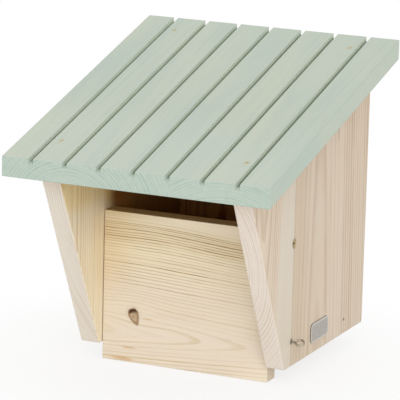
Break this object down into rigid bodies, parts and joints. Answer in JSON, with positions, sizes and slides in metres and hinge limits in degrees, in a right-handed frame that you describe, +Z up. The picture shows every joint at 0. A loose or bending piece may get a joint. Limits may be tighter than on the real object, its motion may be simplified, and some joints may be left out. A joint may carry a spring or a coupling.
{
  "type": "bird nest box",
  "caption": "Half-open pine nest box for a wall: raked side wings, a grooved lean-to roof and a front board that swings up on pivot screws, locked by a screw eye.",
  "frame": {"origin": "on the wall plane, midway between the two wall screw holes in the back panel", "axes": "+Y into the wall, +Z up, +X to the right of someone who faces the front"},
  "size_m": [0.257, 0.3, 0.2904],
  "materials": {
    "pine": "planed bare pine",
    "stained_pine": "pine under a thin pale green stain",
    "yellow_zinc": "yellow zinc plated",
    "bright_zinc": "bright zinc plated",
    "nail_steel": "plain wire nail, dulled",
    "plate_metal": "brushed, bare"
  },
  "bodies": {
    "box": {"roof_board": "stained_pine", "left_side": "pine", "right_side": "pine", "back_panel": "pine", "floor_panel": "pine", "roof_nails": "nail_steel", "floor_brads": "nail_steel", "back_brads": "nail_steel", "side_plate": "plate_metal"},
    "front": {"front_panel": "pine", "left_pivot_screw": "yellow_zinc", "right_pivot_screw": "yellow_zinc"},
    "lock": {"lock_eye": "bright_zinc"}
  },
  "joints": [
    {"name": "front_swing", "type": "hinge", "parent": "box", "child": "front", "pos_m": [0, -0.176, -0.0355], "axis": [-1, 0, 0], "range_deg": [0, 114]},
    {"name": "lock_eye_draw", "type": "slide", "parent": "box", "child": "lock", "axis": [1, 0, 0], "range_m": [-0.0032, 0.016]}
  ]
}
